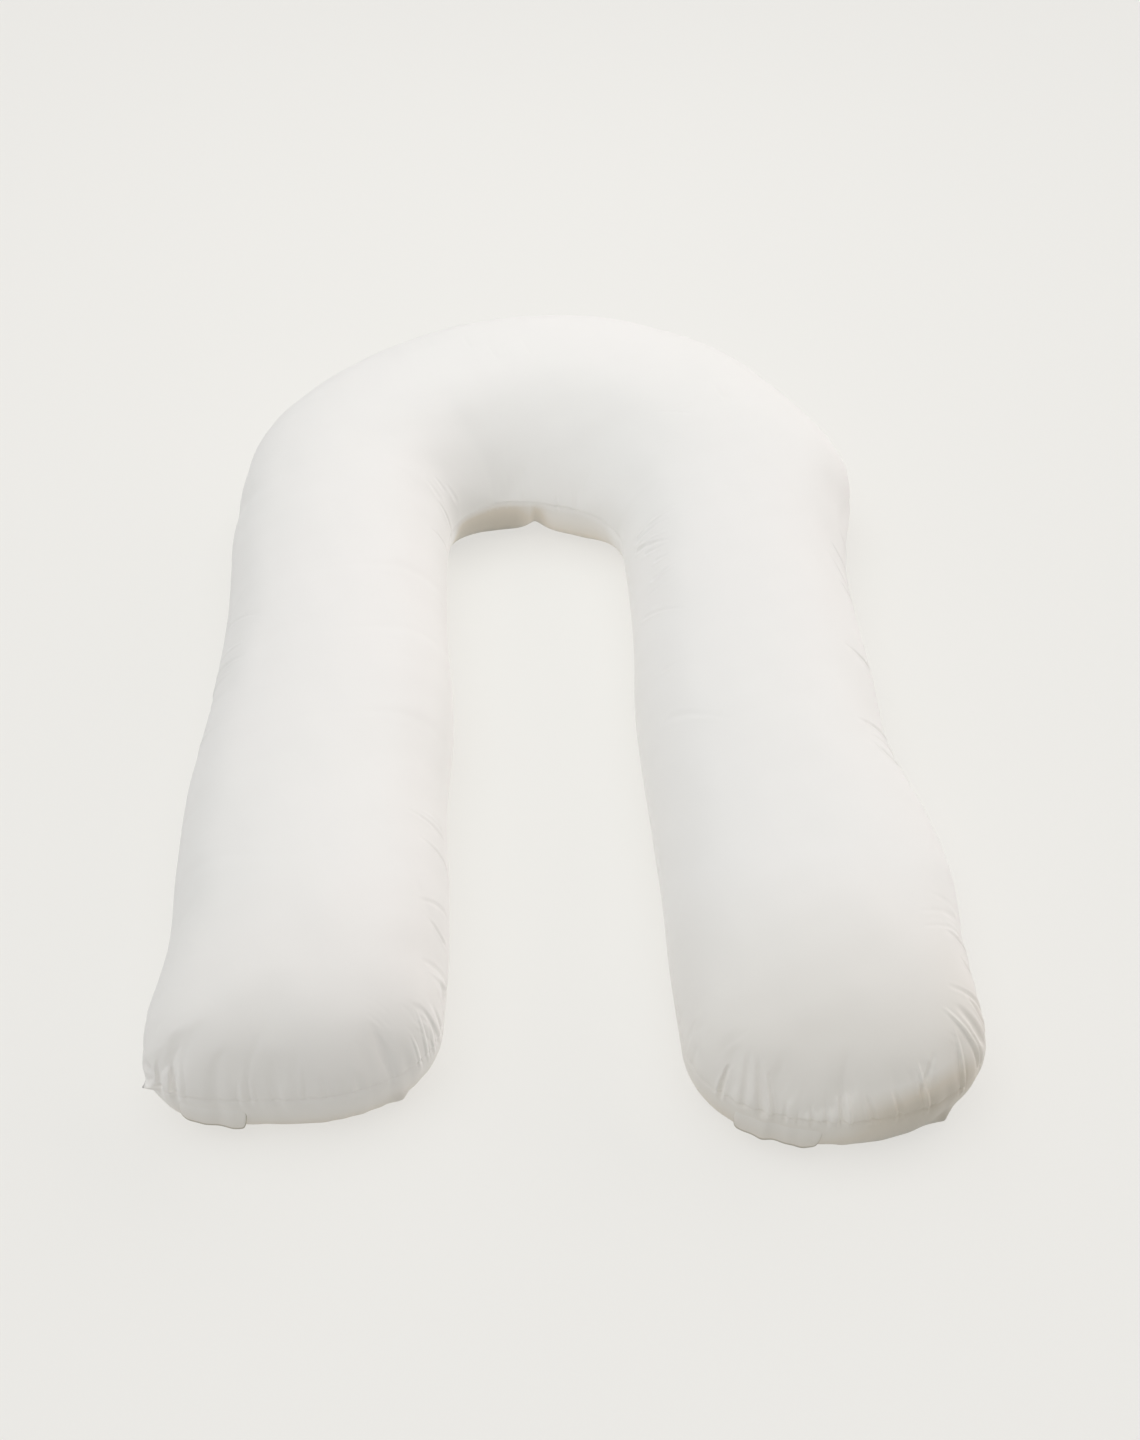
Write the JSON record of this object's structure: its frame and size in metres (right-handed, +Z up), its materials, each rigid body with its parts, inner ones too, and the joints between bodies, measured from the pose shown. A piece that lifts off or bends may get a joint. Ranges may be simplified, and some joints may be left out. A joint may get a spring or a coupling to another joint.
{
  "type": "body pillow",
  "caption": "U-shaped full-body pillow: a filled white cotton shell with two long legs joined by a wide bend, its filling openings sewn shut at the leg tips.",
  "frame": {"origin": "middle of the footprint, on the surface that the pillow lies on", "axes": "+Z up, legs point along -Y, the bend is at +Y, +X to the right when seen from the leg tips"},
  "size_m": [0.8964, 1.4032, 0.1871],
  "materials": {
    "shell_cotton": "smooth close-woven white cotton, matte with a faint sheen",
    "topstitched_hem": "folded white cotton with two rows of topstitching"
  },
  "bodies": {
    "root": {"pillow": "shell_cotton", "closing_lip_left": "topstitched_hem", "closing_lip_right": "topstitched_hem"}
  },
  "joints": []
}
